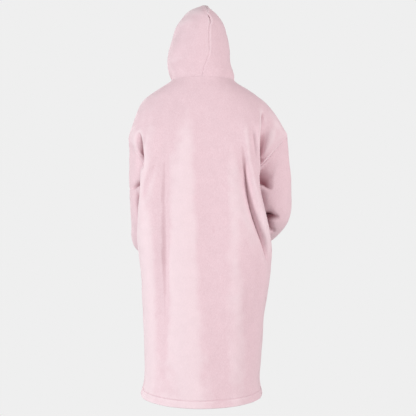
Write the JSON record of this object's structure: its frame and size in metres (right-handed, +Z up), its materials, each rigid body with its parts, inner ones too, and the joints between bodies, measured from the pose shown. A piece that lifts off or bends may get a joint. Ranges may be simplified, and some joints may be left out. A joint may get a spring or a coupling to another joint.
{
  "type": "oversized hooded pullover (hoodie)",
  "caption": "Knee-to-calf-length oversized hoodie in thick pink fleece, worn shape with the hood up and both arms bent forward.",
  "frame": {"origin": "midway between the neck points of the two shoulder seams, where the garment hangs on its wearer's shoulders", "axes": "+Z up along the body, -Y towards the front of the garment, +X towards the wearer's left"},
  "size_m": [0.561, 0.4516, 1.3323],
  "materials": {
    "back_panel": "matt brushed fleece",
    "front_panel": "matt brushed fleece",
    "sleeve_left": "matt brushed fleece",
    "sleeve_right": "matt brushed fleece",
    "hood_left": "matt brushed fleece",
    "hood_right": "matt brushed fleece"
  },
  "bodies": {
    "root": {"back_panel": "back_panel", "front_panel": "front_panel", "sleeve_left": "sleeve_left", "sleeve_right": "sleeve_right", "hood_left": "hood_left", "hood_right": "hood_right"}
  },
  "joints": []
}
